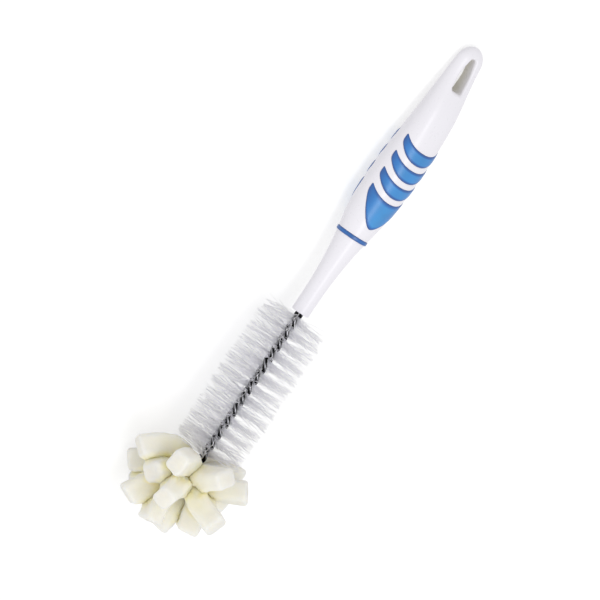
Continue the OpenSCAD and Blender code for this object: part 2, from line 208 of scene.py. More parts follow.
def curve(x, column):
    """Smooth curve through one column of the grip's sections."""
    s, v = SECTIONS[:, 0], SECTIONS[:, column]
    slopes = np.gradient(v, s, edge_order=1)
    slopes[1:-1] = (v[2:] - v[:-2]) / (s[2:] - s[:-2])
    i = np.clip(np.searchsorted(s, x, side="right") - 1, 0, len(s) - 2)
    h = s[i + 1] - s[i]
    t = np.clip((x - s[i]) / h, 0, 1)
    return ((2 * t**3 - 3 * t**2 + 1) * v[i] + (t**3 - 2 * t**2 + t) * h * slopes[i]
            + (3 * t**2 - 2 * t**3) * v[i + 1] + (t**3 - t**2) * h * slopes[i + 1])


def cap(x):
    """How far the rounded hanging end has opened out at x: 0 at its tip, 1 past it."""
    return np.sqrt(1 - (1 - np.clip(x / CAP_LEN, 0, 1))**2)


def on_grip(x, angle, off=0.0):
    """Points on the grip at a place and an angle, raised by off from the surface."""
    x, angle, off = np.broadcast_arrays(np.asarray(x, float), np.radians(angle), off)
    power = 2 / curve(x, POWER)
    wide = cap(x) * curve(x, WIDTH) / 2 + off
    deep = cap(x) * curve(x, DEPTH) / 2 + off
    s, c = np.sin(angle), np.cos(angle)
    return np.stack([x, wide * np.sign(s) * np.abs(s)**power,
                     curve(x, RISE) + deep * np.sign(c) * np.abs(c)**power], -1)


def half_depth(x, y, most=1.0):
    """How far the grip's face stands from its middle, y to one side of it.

    A y past the part most of the half width counts as there."""
    half_w, half_t = cap(x) * curve(x, WIDTH) / 2, cap(x) * curve(x, DEPTH) / 2
    power = curve(x, POWER)
    across = np.clip(np.abs(y) / np.maximum(half_w, 0.1), 0, most)
    return half_t * (1 - across**power)**(1 / power)


def pad_ends(i, u):
    """Upper and lower ends of pad i at parts u of its wrap.

    The wings end square with round corners, and the last pad is the tongue."""
    u = np.abs(u)
    last = i == PADS[-1]
    tongue_top = GRIP_LEN - RING_W / 2 - PAD_GAP - TONGUE_LEN
    top = tongue_top - (PADS[-1] - i) * PAD_PITCH
    up = top - WING_RISE * u**2
    drop = WING_DROP + (TONGUE_LEN - PAD_LEN if last else 0)
    down = top + (TONGUE_LEN if last else PAD_LEN) - drop * u**(1.7 if last else 2)
    to_end = np.clip((1 - u) * math.radians(FRONT_WRAP) * GRIP_W / 2, 0, WING_CORNER)
    rest = np.clip(WING_CORNER**2 - (WING_CORNER - to_end)**2, 0, None)
    inset = WING_CORNER - np.sqrt(rest)
    return up + inset, down - inset


def swell(u):
    """The pads stand proud in the middle and run out nearly flush at the wings."""
    return 1 - 0.75 * u**4


def pad_parts():
    """Parts of a pad's wrap, from one wing to the other, closer together at the wings."""
    return np.sin(np.pi / 2 * np.linspace(1, -1, PAD_COLUMNS + 1))[:, None]


def pad_solid(name, i, turn):
    """One grip pad: flat seat, rounded shoulders and a gently crowned face."""
    wrap = FRONT_WRAP if turn == 0 else BACK_WRAP
    u = pad_parts()
    up, down = pad_ends(i, u)
    # Each row is (inward from the edge in mm, height as a part of the pad's rise)
    edge = [(0, -PAD_DEPTH / PAD_PROUD), (0, -0.6), (0.02, -0.1), (0.08, 0.2),
            (0.2, 0.45), (0.4, 0.66), (0.7, 0.83), (SHOULDER, 0.94)]
    inward, rise = np.array(edge).T
    room = (down - up) / 2
    across = np.minimum(inward, 0.85 * room * inward / SHOULDER)
    first = up + across
    inner = np.linspace(0, 1, 11)[1:-1]
    face = first[:, -1:] + (down - across[:, -1:] - first[:, -1:]) * inner
    x = np.hstack([first, face, (down - across)[:, ::-1]])
    height = np.concatenate([rise, np.ones(len(inner)), rise[::-1]])[None, :] * PAD_PROUD
    lift = np.where(height > 0, height * swell(u), height)
    piece = piece_of(name, *flat_ended(on_grip(x, turn + u * wrap, lift)))
    # How far each point is from the rim, less towards the wings, for painted shade at the rim and
    # wings and a painted highlight on the crown
    middle = np.broadcast_to(SHOULDER + room, (len(u), len(inner)))
    inside = np.hstack([across, middle, across[:, ::-1]])
    wing_shade_distance = 0.42 * (1 - np.abs(u)) * math.radians(wrap) * GRIP_W / 2
    store(piece, "rim_shade_distance", np.minimum(inside, wing_shade_distance).ravel())
    return piece


def pad_recess(i, turn):
    """Cutter for the seat of a pad, with its rim eased outwards."""
    wrap = FRONT_WRAP if turn == 0 else BACK_WRAP
    # At the wings' ends the seat is 0.2 mm longer, here as an angle
    extra = 0.2 / math.radians(GRIP_W / 2)
    u = pad_parts()
    up, down = pad_ends(i, u)
    # Each row is (outward from the pad's edge in mm, height from the grip's surface in mm)
    edge = [(0.03, -PAD_DEPTH - 0.05), (0.03, -0.3), (0.05, -0.12), (0.12, 0.02), (0.24, 1.4)]
    grow, height = np.array(edge).T
    x = np.hstack([up - grow, (down + grow)[:, ::-1]])
    lift = np.concatenate([height, height[::-1]])[None, :]
    points = on_grip(x, turn + u * (wrap + extra), lift)
    return piece_of("pad_seat_cutter_%d_%d" % (i, turn), *flat_ended(points))


def slot_line():
    """Half outline of the hanging slot, a long drop with a broad far end."""
    tip_r, end = SLOT_TIP_W / 2, SLOT_START + SLOT_LEN
    tip_x, corner_x = SLOT_START + tip_r, end - SLOT_CORNER
    full_x = SLOT_START + SLOT_FULL * SLOT_LEN
    a = np.radians(np.linspace(180, 90, 13)[:-1])
    tip = np.stack([tip_x + tip_r * np.cos(a), tip_r * np.sin(a)], -1)
    s = np.linspace(0, 1, 40)
    side = np.stack([tip_x + (full_x - tip_x) * s,
                     tip_r + (SLOT_W / 2 - tip_r) * np.sin(np.pi / 2 * s)], -1)
    level_x = np.linspace(full_x, corner_x, 12)[1:-1]
    level = np.stack([level_x, np.full(len(level_x), SLOT_W / 2)], -1)
    a = np.radians(np.linspace(90, 0, 13))
    corner = np.stack([corner_x + SLOT_CORNER * np.cos(a),
                       SLOT_W / 2 - SLOT_CORNER + SLOT_CORNER * np.sin(a)], -1)
    broad = np.array([[end, 0.75], [end, 0.0]])
    return np.vstack([tip, side, level, corner, broad])


def slot_cutter(front_rim=1.9, back_rim=0.6):
    """Cutter for the hanging slot, flared at both faces into a soft rounded rim."""
    half = slot_line()
    line = np.vstack([half, (half * [1, -1])[-2:0:-1]])
    step = np.roll(line, -1, 0) - np.roll(line, 1, 0)
    out = unit(np.stack([-step[:, 1], step[:, 0]], -1))
    flares = []
    for face, rim in ((1, front_rim), (-1, back_rim)):
        flare = []
        for a in np.radians([0, 12, 24, 36, 48, 60, 72]):
            spot = line + out * rim * (1 - math.cos(a))
            high = half_depth(spot[:, 0], spot[:, 1], 0.98)
            z = curve(spot[:, 0], RISE) + face * (high - rim * (1 - math.sin(a)))
            flare.append(np.column_stack([spot, z]))
        # The cutter runs 3 mm clear of each face
        flare.append(flare[-1] + np.array([0, 0, 3 * face]))
        flares.append(flare)
    front, back = flares[0], flares[1][::-1]
    middle = (back[-1] + front[0]) / 2
    return piece_of("slot_cutter", *flat_ended(back + [middle] + front))


def make_handle():
    """The moulded handle: grip, neck and open bore in one closed skin."""
    b = np.radians(np.linspace(7, 90, 13)[:-1])
    groove = RING_W / 2
    rounded = CAP_LEN * (1 - np.cos(b))
    xs = np.concatenate([rounded, np.linspace(CAP_LEN, GRIP_LEN - groove, 190)])
    rings = [on_grip(x, ROUND) for x in xs]
    rings += [round_ring(GRIP_LEN + x, RING_SEAT_R) for x in (-groove, groove)]
    taper = NECK_LEN - NECK_STRAIGHT
    for s in np.concatenate([np.linspace(groove, taper, 52), [taper + 2.2, taper + 4.3]]):
        r = NECK_D / 2 + (COLLAR_D - NECK_D) / 2 * max((taper - s) / taper, 0)**2.3
        rings.append(round_ring(GRIP_LEN + s, r))
    for a in np.radians([15, 35, 55, 75, 90]):
        rings.append(round_ring(NECK_END - LIP_R + LIP_R * math.sin(a),
                                NECK_D / 2 - LIP_R + LIP_R * math.cos(a)))
    bore, floor_x = WIRE_R + FIT, NECK_END - WIRE_SEAT - WIRE_D / 2
    rings += [round_ring(NECK_END, bore + BORE_CHAMFER),
              round_ring(NECK_END - BORE_CHAMFER, bore), round_ring(floor_x, bore)]
    # The hanging end closes at a point 0.1 mm in, and the bore at its flat floor
    tip = laid([0.1, 0, curve(np.array(0.0), RISE)])
    body = piece_of("handle_body", *skin(laid(rings), tip, laid([floor_x, 0, 0])))
    cutters = [pad_recess(i, turn) for i in PADS for turn in (0, 180)]
    body = carved(body, cutters + [slot_cutter()])
    # How deep each point lies in the hanging slot, for the painted shade on the slot's wall
    x, y, z = brush_place([v.co for v in body.data.vertices]).T
    high, up = half_depth(x, y), z - curve(x, RISE)
    near = (x > SLOT_START - 2) & (x < SLOT_START + SLOT_LEN + 2) & (np.abs(y) < SLOT_W / 2 + 1)
    deep = np.where(near & (high + up > 0.1), np.maximum(high - up, 0), 0)
    store(body, "slot_shade_depth", deep)
    return body


def make_ring():
    """The coloured ring, a band with rounded edges seated in its groove."""
    inner, outer = RING_SEAT_R + FIT, COLLAR_D / 2 + RING_PROUD
    half, soft = RING_W / 2 - FIT, 0.5
    a = np.radians(np.linspace(90, 0, 6))
    left = [(-half + soft * (1 - math.sin(t)), outer - soft * (1 - math.cos(t))) for t in a]
    right = [(-x, r) for x, r in left[::-1]]
    crown = [(x, outer) for x in (-0.35, 0, 0.35)]
    profile = [(-half, inner)] + left + crown + right + [(half, inner)]
    rings = [round_ring(GRIP_LEN + x, r) for x, r in profile]
    piece = piece_of("grip_ring", *skin(laid(rings), ring_closed=True))
    # How far each point is from the ring's edge, for the painted shade towards its edges
    store(piece, "rim_shade_distance", np.repeat([half - abs(x) for x, r in profile], len(ROUND)))
    return piece


# ---- Geometry Nodes ----

def add(tree, kind, links=(), **settings):
    """Adds a node with its settings; links are (input name or number, value or output socket)."""
    node = tree.nodes.new(kind)
    for key, value in settings.items():
        setattr(node, key, value)
    for key, value in links:
        socket = node.inputs[key]
        if isinstance(value, bpy.types.NodeSocket):
            tree.links.new(value, socket)
        else:
            socket.default_value = value
    return node


def sweep_tree(name, radius_name, radius, sides, from_edges=False, smooth=False):
    """A geometry tree that sweeps a round section along a curve, or along a mesh's edges.

    radius and sides are what its inputs start at."""
    tree = bpy.data.node_groups.new(name, "GeometryNodeTree")
    for way in ("INPUT", "OUTPUT"):
        tree.interface.new_socket("Geometry", in_out=way, socket_type="NodeSocketGeometry")
    for label, kind, value in ((radius_name, "NodeSocketFloat", radius),
                               ("Sides", "NodeSocketInt", sides)):
        socket = tree.interface.new_socket(label, in_out="INPUT", socket_type=kind)
        socket.default_value = value
    tree.interface.new_socket("Finish", in_out="INPUT", socket_type="NodeSocketMaterial")
    into = add(tree, "NodeGroupInput")
    line = into.outputs["Geometry"]
    if from_edges:
        line = add(tree, "GeometryNodeMeshToCurve", [("Mesh", line)]).outputs[0]
    section = add(tree, "GeometryNodeCurvePrimitiveCircle", [
        ("Resolution", into.outputs["Sides"]), ("Radius", into.outputs[radius_name])])
    shape = add(tree, "GeometryNodeCurveToMesh", [
        ("Curve", line), ("Profile Curve", section.outputs["Curve"]), ("Fill Caps", True)])
    if smooth:
        shape = add(tree, "GeometryNodeSetShadeSmooth", [("Geometry", shape.outputs[0])])
    real = add(tree, "GeometryNodeRealizeInstances", [("Geometry", shape.outputs[0])])
    done = add(tree, "GeometryNodeSetMaterial", [
        ("Geometry", real.outputs[0]), ("Material", into.outputs["Finish"])])
    add(tree, "NodeGroupOutput", [("Geometry", done.outputs[0])])
    return tree


def baked(name, source, tree, values):
    """The tree's result on source as a plain mesh piece; values go in by socket identifier."""
    grow = source.modifiers.new(tree.name, "NODES")
    grow.node_group = tree
    for item in tree.interface.items_tree:
        if item.in_out == "INPUT" and item.name in values:
            grow[item.identifier] = values[item.name]
    bpy.context.view_layer.update()
    solid = source.evaluated_get(bpy.context.evaluated_depsgraph_get())
    mesh = bpy.data.meshes.new_from_object(solid)
    source.modifiers.clear()
    bpy.data.objects.remove(source)
    piece = bpy.data.objects.new(name, mesh)
    scene.collection.objects.link(piece)
    return piece


# ---- Colours and materials ----

# Sockets of the Mix node when it mixes colours: its two colours and its result
MIX_A, MIX_B, MIX_OUT = 6, 7, 2


def colour(hex_code):
    """An sRGB hex value as linear colour."""
    parts = [int(hex_code[i:i + 2], 16) / 255 for i in (1, 3, 5)]
    return tuple(p / 12.92 if p <= 0.04045 else ((p + 0.055) / 1.055)**2.4 for p in parts) + (1,)


def material(name, base, **sockets):
    """A Principled material with these values on the shader's own sockets."""
    made = bpy.data.materials.new(name)
    made.use_nodes = True
    tree = made.node_tree
    shader = tree.nodes["Principled BSDF"]
    shader.inputs["Base Color"].default_value = colour(base)
    for key, value in sockets.items():
        shader.inputs[key.replace("_", " ")].default_value = value
    return made, tree, shader


def linked(tree, shader, **outputs):
    """Links outputs to the shader's own sockets."""
    for key, value in outputs.items():
        tree.links.new(value, shader.inputs[key.replace("_", " ")])


def gloss_polypropylene():
    """Polypropylene, injection moulded in a polished tool: a bright, slightly wavy gloss over a
    milky white."""
    made, tree, shader = material("White polypropylene, polished moulding", "#F2F0F6",
                                  Roughness=0.3, IOR=1.49)
    place = add(tree, "ShaderNodeTexCoord").outputs["Object"]
    # Painted shade: the wall of the hanging slot is painted greyer and warmer the deeper it lies
    slot = add(tree, "ShaderNodeAttribute", attribute_name="slot_shade_depth").outputs["Fac"]
    deep = add(tree, "ShaderNodeMapRange", [
        ("Value", slot), ("From Min", 0.15), ("From Max", 7.5)]).outputs[0]
    tint = add(tree, "ShaderNodeMix", [
        ("Factor", deep), (MIX_A, colour("#F2F0F6")), (MIX_B, colour("#E2DFD5"))],
        data_type="RGBA").outputs[MIX_OUT]
    # Slight sink and flow of the moulding, about 14 mm across, and fine handling haze, about 2 mm
    flow = add(tree, "ShaderNodeTexNoise", [
        ("Vector", place), ("Scale", 70.0), ("Detail", 1.0)]).outputs[0]
    haze = add(tree, "ShaderNodeTexNoise", [
        ("Vector", place), ("Scale", 520.0), ("Detail", 3.0)]).outputs[0]
    rough = add(tree, "ShaderNodeMapRange", [
        ("Value", haze), ("From Min", 0.3), ("From Max", 0.7),
        ("To Min", 0.26), ("To Max", 0.34)]).outputs[0]
    bump = add(tree, "ShaderNodeBump", [
        ("Height", flow), ("Strength", 0.25), ("Distance", 0.0002)]).outputs["Normal"]
    linked(tree, shader, Base_Color=tint, Roughness=rough, Normal=bump)
    return made


def soft_elastomer():
    """Thermoplastic elastomer, over-moulded: blue, satin, with a fine leathery grain."""
    made, tree, shader = material("Blue thermoplastic elastomer, over-moulded", "#2A78C2",
                                  Roughness=0.38, IOR=1.5, Specular_IOR_Level=0.8)
    place = add(tree, "ShaderNodeTexCoord").outputs["Object"]
    # Spark-eroded grain, 0.35 mm, and a slow mottle of about 8 mm where the pad is handled
    grain = add(tree, "ShaderNodeTexNoise", [
        ("Vector", place), ("Scale", 2800.0), ("Detail", 2.0)]).outputs[0]
    mottle = add(tree, "ShaderNodeTexNoise", [
        ("Vector", place), ("Scale", 120.0), ("Detail", 2.0)]).outputs[0]
    # Painted shade: the rim is a darker line, about 1 mm wide, where the pad turns down, and the
    # wings are darker too; the crown is the lightest, a painted highlight
    rim = add(tree, "ShaderNodeAttribute", attribute_name="rim_shade_distance").outputs["Fac"]
    inner = add(tree, "ShaderNodeMapRange", [("Value", rim), ("From Max", 6.0)]).outputs[0]
    tint = add(tree, "ShaderNodeValToRGB", [("Fac", inner)])
    ramp = tint.color_ramp
    ramp.elements[0].color, ramp.elements[1].color = colour("#0A4C98"), colour("#3490D4")
    for position, shade in ((0.15, "#0E60AC"), (0.34, "#1672C0"), (0.6, "#2482CC")):
        ramp.elements.new(position).color = colour(shade)
    worn = add(tree, "ShaderNodeMapRange", [
        ("Value", mottle), ("From Min", 0.3), ("From Max", 0.7),
        ("To Min", 0.9), ("To Max", 1.06)]).outputs[0]
    both = add(tree, "ShaderNodeMix", [
        ("Factor", 1.0), (MIX_A, tint.outputs["Color"]), (MIX_B, worn)],
        data_type="RGBA", blend_type="MULTIPLY").outputs[MIX_OUT]
    rough = add(tree, "ShaderNodeMapRange", [
        ("Value", mottle), ("To Min", 0.31), ("To Max", 0.41)]).outputs[0]
    bump = add(tree, "ShaderNodeBump", [
        ("Height", grain), ("Strength", 0.3), ("Distance", 0.00006)]).outputs["Normal"]
    linked(tree, shader, Base_Color=both, Roughness=rough, Normal=bump)
    return made


def bright_wire():
    """Galvanised steel wire, drawn and twisted: dark metal with a painted highlight along its
    crests and painted shade in its grooves, slightly uneven."""
    made, tree, shader = material("Galvanised steel wire, drawn", "#3E3E42",
                                  Metallic=1.0, Roughness=0.2)
    place = add(tree, "ShaderNodeTexCoord").outputs["Object"]
    # Painted highlight and shade: the crests of the twist are painted bright and the grooves dark
    crest = add(tree, "ShaderNodeAttribute", attribute_name="crest_glint_height").outputs["Fac"]
    tint = add(tree, "ShaderNodeValToRGB", [("Fac", crest)])
    ramp = tint.color_ramp
    ramp.elements[0].position, ramp.elements[0].color = 0.80, colour("#161618")
    ramp.elements[1].position, ramp.elements[1].color = 1.0, colour("#9C9CA0")
    ramp.elements.new(0.95).color = colour("#343437")
    # Unevenness of the drawn surface, about 1 mm across
    marks = add(tree, "ShaderNodeTexNoise", [
        ("Vector", place), ("Scale", 900.0), ("Detail", 4.0)]).outputs[0]
    rough = add(tree, "ShaderNodeMapRange", [
        ("Value", marks), ("To Min", 0.12), ("To Max", 0.32)]).outputs[0]
    bump = add(tree, "ShaderNodeBump", [
        ("Height", marks), ("Strength", 0.15), ("Distance", 0.00005)]).outputs["Normal"]
    linked(tree, shader, Base_Color=tint.outputs["Color"], Roughness=rough, Normal=bump)
    return made


def nylon_filament():
    """Nylon 6.12 monofilament, extruded: clear-white threads that pass some light."""
    made, tree, shader = material("White nylon monofilament, extruded", "#F0EEF4",
                                  Roughness=0.35, IOR=1.53, Subsurface_Weight=1.0,
                                  Subsurface_Radius=(1.0, 1.0, 1.0), Subsurface_Scale=0.0006)
    place = add(tree, "ShaderNodeTexCoord").outputs["Object"]
    # Locks some 4 mm apart differ a little in tone
    mottle = add(tree, "ShaderNodeTexNoise", [
        ("Vector", place), ("Scale", 260.0), ("Detail", 1.0)]).outputs[0]
    tint = add(tree, "ShaderNodeValToRGB", [("Fac", mottle)])
    low, high = tint.color_ramp.elements
    low.position, low.color = 0.35, colour("#F0EFF9")
    high.position, high.color = 0.65, colour("#F9F8FF")
    linked(tree, shader, Base_Color=tint.outputs["Color"])
    return made


def cut_foam():
    """Polyurethane foam, hot-wire cut: cream, matt and open-celled, with painted warm bounce light
    towards the heart of the head and in its folds."""
    made, tree, shader = material("Cream polyurethane foam, cut", "#EBE7DA",
                                  Roughness=0.9, IOR=1.4, Specular_IOR_Level=0.25,
                                  Subsurface_Weight=1.0, Subsurface_Radius=(1.0, 0.93, 0.78),
                                  Subsurface_Scale=0.012)
    place = add(tree, "ShaderNodeTexCoord").outputs["Object"]
    # Cells of about 0.5 mm, drawn at 0.9 mm so that they show, and soft lumps of 5 mm
    cells = add(tree, "ShaderNodeTexVoronoi", [
        ("Vector", place), ("Scale", 1100.0)]).outputs["Distance"]
    lumps = add(tree, "ShaderNodeTexNoise", [
        ("Vector", place), ("Scale", 200.0), ("Detail", 3.0)]).outputs[0]
    # Painted bounce light: the cut ends are the palest, and towards the wire the foam is painted
    # yellower
    back = add(tree, "ShaderNodeAttribute", attribute_name="warm_bounce_from_cut_end").outputs["Fac"]
    inward = add(tree, "ShaderNodeMapRange", [
        ("Value", back), ("From Min", 5.0), ("From Max", 26.0)]).outputs[0]
    tint = add(tree, "ShaderNodeValToRGB", [("Fac", inward)])
    ramp = tint.color_ramp
    ramp.elements[0].color, ramp.elements[1].color = colour("#E8E5DD"), colour("#F6EFD2")
    ramp.elements.new(0.3).color = colour("#EFECDF")
    # Painted light: where strips press together, the fold is painted warmer and brighter, standing
    # in for light that comes through both
    apart = add(tree, "ShaderNodeAttribute", attribute_name="fold_glow_from_next_strip").outputs["Fac"]
    open_air = add(tree, "ShaderNodeMapRange", [
        ("Value", apart), ("From Max", 4.5)], interpolation_type="SMOOTHSTEP").outputs[0]
    warm = add(tree, "ShaderNodeMix", [
        ("Factor", open_air), (MIX_A, colour("#FEF0B6")), (MIX_B, tint.outputs["Color"])],
        data_type="RGBA").outputs[MIX_OUT]
    mottle = add(tree, "ShaderNodeMapRange", [
        ("Value", lumps), ("From Min", 0.35), ("From Max", 0.65), ("To Max", 0.5)]).outputs[0]
    mixed = add(tree, "ShaderNodeMix", [
        ("Factor", mottle), (MIX_A, warm), (MIX_B, colour("#F0EDE2"))],
        data_type="RGBA").outputs[MIX_OUT]
    shallow = add(tree, "ShaderNodeMath", [(0, cells), (1, 0.35)], operation="MULTIPLY")
    height = add(tree, "ShaderNodeMath", [(0, shallow.outputs[0]), (1, lumps)], operation="ADD")
    bump = add(tree, "ShaderNodeBump", [
        ("Height", height.outputs[0]), ("Strength", 0.35), ("Distance", 0.0006)])
    linked(tree, shader, Base_Color=mixed, Normal=bump.outputs["Normal"])
    return made


# ---- Wire ----

def gap_angle(x):
    """Direction of the gap between the strands; the twist eases off before the bend."""
    over, run = np.maximum(x - EASE_START, 0), BEND_X - EASE_START
    turned_over = np.minimum(x, EASE_START) - FIRST_PINCH + over - over**2 / (2 * run)
    return FIRST_ANGLE + 360 / LAY_LEN * turned_over


def wire_path():
    """Middle line of the folded wire: along one strand, round the bend and back along the other."""
    xs = np.linspace(NECK_END - WIRE_SEAT, BEND_X, 260)
    middle = np.stack([xs, 0 * xs, 0 * xs], -1)
    out, back = [middle + STRAND_R * around(gap_angle(xs) + 90 * side) for side in (1, -1)]
    across = around(gap_angle(np.array(BEND_X)) + 90)
    bend = [np.array([BEND_X, 0, 0])
            + STRAND_R * (math.cos(b) * across + np.array([math.sin(b), 0, 0]))
            for b in np.radians(np.linspace(0, 180, 13)[1:-1])]
    return np.vstack([out, bend, back[::-1]])


def make_wire(finish):
    """The twisted wire: a round section swept along its folded middle line."""
    line = bpy.data.curves.new("wire_path", "CURVE")
    line.dimensions = "3D"
    path = laid(wire_path())
    spline = line.splines.new("POLY")
    spline.points.add(len(path) - 1)
    spline.points.foreach_set("co", np.column_stack([path, np.ones(len(path))]).ravel())
    source = bpy.data.objects.new("wire_path", line)
    scene.collection.objects.link(source)
    tree = sweep_tree("Wire along a path", "Wire radius", 0.001, 12, smooth=True)
    wire = baked("twisted_wire", source, tree,
                 {"Wire radius": WIRE_D / 2000, "Sides": 16, "Finish": finish})
    p = brush_place([v.co for v in wire.data.vertices])
    # How far out each point is, as a part of the twist's own radius, for the painted highlight on
    # the crests and painted shade in the grooves
    store(wire, "crest_glint_height", np.hypot(p[:, 1], p[:, 2]) / WIRE_R)
    return wire


# ---- Bristles ----

# How many filaments, how many share a lock, the part that strays, and the radius in millimetres
FILAMENTS, IN_LOCK, STRAYS, FILAMENT_R = 2000, 6, 0.12, 0.1
# Each filament draws down towards its tip, as a used one does: radii as parts of FILAMENT_R
TAPER = [2.2, 1.25, 0.88, 0.78, 0.7]
# Over so many millimetres at each end of the row the filaments lean in, off the neck and the foam
END_RUN = 12.0


def make_bristles(finish):
    """Filaments held between the strands, each standing out along the gap with some scatter."""
    rng = np.random.default_rng(7)
    spaced = (np.arange(FILAMENTS) + rng.random(FILAMENTS)) / FILAMENTS
    x = BRISTLE_START + BRISTLE_LEN * spaced
    side = np.where(rng.random(FILAMENTS) < 0.5, 0, 180)
    # Tips gather into loose locks: nearby filaments share part of their scatter
    shared = rng.normal(0, 1, (FILAMENTS // IN_LOCK + 1, 3))
    lock = np.repeat(shared, IN_LOCK, 0)[:FILAMENTS]
    angle = gap_angle(x) + side + 4 * lock[:, 0]
    # One in eight strays well out of line, as they do where the wire is wound tight
    scatter = rng.normal(0, 1, FILAMENTS)
    angle = angle + scatter * np.where(rng.random(FILAMENTS) < STRAYS, 25, 9)
    near = np.clip(1 - (x - BRISTLE_START) / END_RUN, 0, 1)
    far = np.clip(1 - (BRISTLE_END - x) / END_RUN, 0, 1)
    lean = 3.4 * near**2 - 6.5 * far**2 + 1.7 * rng.normal(0, 1, FILAMENTS) + 0.8 * lock[:, 1]
    worn = rng.random(FILAMENTS) + 0.8 * np.abs(lock[:, 2])**1.5
    reach = BRISTLE_D / 2 - worn - 2.4 * near**1.5
    out = around(angle)
    # A filament starts 0.6 mm out, inside the wire
    root = np.stack([x, 0 * x, 0 * x], -1) + 0.6 * out
    tip = np.stack([x + lean, 0 * x, 0 * x], -1) + reach[:, None] * out
    bend = rng.normal(0, 0.7, (FILAMENTS, 3))
    count = len(TAPER)
    t = np.linspace(0, 1, count)
    paths = root[:, None] * (1 - t)[None, :, None] + tip[:, None] * t[None, :, None]
    paths = paths + bend[:, None] * (4 * t * (1 - t))[None, :, None]
    mesh = bpy.data.meshes.new("bristle_lines")
    edges = [(count * i + j, count * i + j + 1) for i in range(FILAMENTS) for j in range(count - 1)]
    mesh.from_pydata(laid(paths.reshape(-1, 3)).tolist(), edges, [])
    source = bpy.data.objects.new("bristle_lines", mesh)
    scene.collection.objects.link(source)
    store(source, "radius", np.tile(TAPER, FILAMENTS))
    tree = sweep_tree("Filaments along lines", "Filament radius", 0.0001, 3, from_edges=True)
    return baked("nylon_bristles", source, tree,
                 {"Filament radius": FILAMENT_R / 1000, "Sides": 4, "Finish": finish})


# ---- Foam head ----

# Two petals a strip: angle, lean, reach, bulge, turn, bend, with lengths as parts of FOAM_REACH
FOAM = [
    [[-102, 14, 1.076, -0.182, 36, 0.515], [96.6, -6.6, 0.853, -0.105, -2, 0.509]],
    [[-53.4, 0.7, 0.989, -0.133, -11, 0.384], [133, -4, 0.967, -0.006, -2, 0.474]],
    [[-4, -15.5, 1.021, 0.047, -51, 0.364], [172, 1, 0.896, 0.009, -2, 0.438]],
    [[46.1, -14.9, 0.974, 0.025, -28, 0.51], [219.8, 22.9, 1.088, 0.011, 3, 0.515]],
    [[80.7, 6.3, 0.818, 0.029, -4, 0.431], [-78.8, 15.6, 0.845, 0.056, -48, 0.515]],
    [[125.2, 14.2, 0.993, 0.116, -2, 0.399], [-45.3, 21.6, 1.014, 0.109, -19, 0.457]],
    [[195.5, 27, 1.062, 0.333, -48, 0.383], [18, 14.3, 1.038, 0.144, -20, 0.515]],
    [[-106.3, 40.3, 0.958, 0.197, 24, 0.515], [61.5, 53.1, 0.767, 0.117, 21, 0.415]],
    [[-56.1, 58.6, 0.803, 0.406, -25, 0.377], [137.6, 61.6, 0.86, 0.266, 30, 0.302]],
]
# Where a petal starts, its size in the wire's grip, and the run over which it opens to full size
PINCH_R, PINCH_W, PINCH_T, SPREAD_RUN = WIRE_R + 0.308, 1.008, 0.21, 14.85
# Radius of the cut end's edge, and of a strip's long edges as a part of its thinner half
EDGE_R, LONG_EDGE = 1.7, 0.52
# Within so many millimetres of the wire the strips are pinched and nothing is smoothed
PINCH_ZONE = 9.0
# The gap that stays between pressed strips, and the farthest that a neighbour counts, in metres
HAIR, FARTHEST = 0.00006, 0.02


def petal_rings(k, side, count=34, corner=4):
    """Rings of one petal from the wire to its cut end, each a rounded rectangle."""
    angle, lean, reach, bulge, turn, bend = FOAM[k][side]
    px = FIRST_PINCH + k * FOAM_PITCH
    start = gap_angle(np.array(px)) + 180 * side
    # The shorter way round from the gap to the petal's own angle
    swing = ((angle - start + 540) % 360) - 180
    reach, lean = FOAM_REACH * reach, math.radians(lean)
    middle = min(FOAM_REACH * bend, 0.9 * reach * math.cos(lean))
    root = np.array([px, 0, 0])
    p0 = root + PINCH_R * around(start)
    p1 = root + np.array([FOAM_REACH * bulge, 0, 0]) + middle * around(start + swing / 2)
    p2 = root + reach * (math.cos(lean) * around(np.array(float(angle)))
                         + np.array([math.sin(lean), 0, 0]))
    flip = 1 if side == 0 else -1
    long = np.linalg.norm(p2 - p0)
    # The last rings turn the cut edge over a small radius
    turn_over = {1 - EDGE_R * (1 - math.sin(a)) / long: EDGE_R * (1 - math.cos(a))
                 for a in np.radians([12, 26, 40, 54, 68, 80, 90])}
    stations = [t for t in np.linspace(0, 1, count) if t < 1 - EDGE_R / long]
    rings = []
    for t in stations + sorted(turn_over):
        place = (1 - t)**2 * p0 + 2 * t * (1 - t) * p1 + t * t * p2
        along = unit((1 - t) * (p1 - p0) + t * (p2 - p1))
        level = unit(np.array([1, 0, 0]) - along[0] * along)
        across = flip * np.cross(along, level)
        a = math.radians(flip * turn * t)
        wide = math.cos(a) * level + math.sin(a) * across
        thick = math.cos(a) * across - math.sin(a) * level
        opened = min(t * long / SPREAD_RUN, 1)**0.55
        w = (PINCH_W + (FOAM_W - PINCH_W) * opened) / 2 - turn_over.get(t, 0)
        h = (PINCH_T + (FOAM_T - PINCH_T) * opened) / 2 - turn_over.get(t, 0)
        c = LONG_EDGE * min(w, h)
        q = np.radians(np.linspace(0, 90, corner + 1))
        loop = []
        for sw, sh, base in ((1, 1, 0), (-1, 1, 90), (-1, -1, 180), (1, -1, 270)):
            loop += [(sw * (w - c) + c * math.cos(v), sh * (h - c) + c * math.sin(v))
                     for v in q + math.radians(base)]
        loop = np.array(loop)
        # Even out the sides with more points between the corners
        full = []
        for i in range(len(loop)):
            p, n = loop[i], loop[(i + 1) % len(loop)]
            full.append(p)
            if i % (corner + 1) == corner:
                full += [p + (n - p) * s for s in np.linspace(0, 1, 9)[1:-1]]
        full = np.array(full)
        rings.append(place + full[:, :1] * wide + full[:, 1:] * thick)
    return np.array(rings)


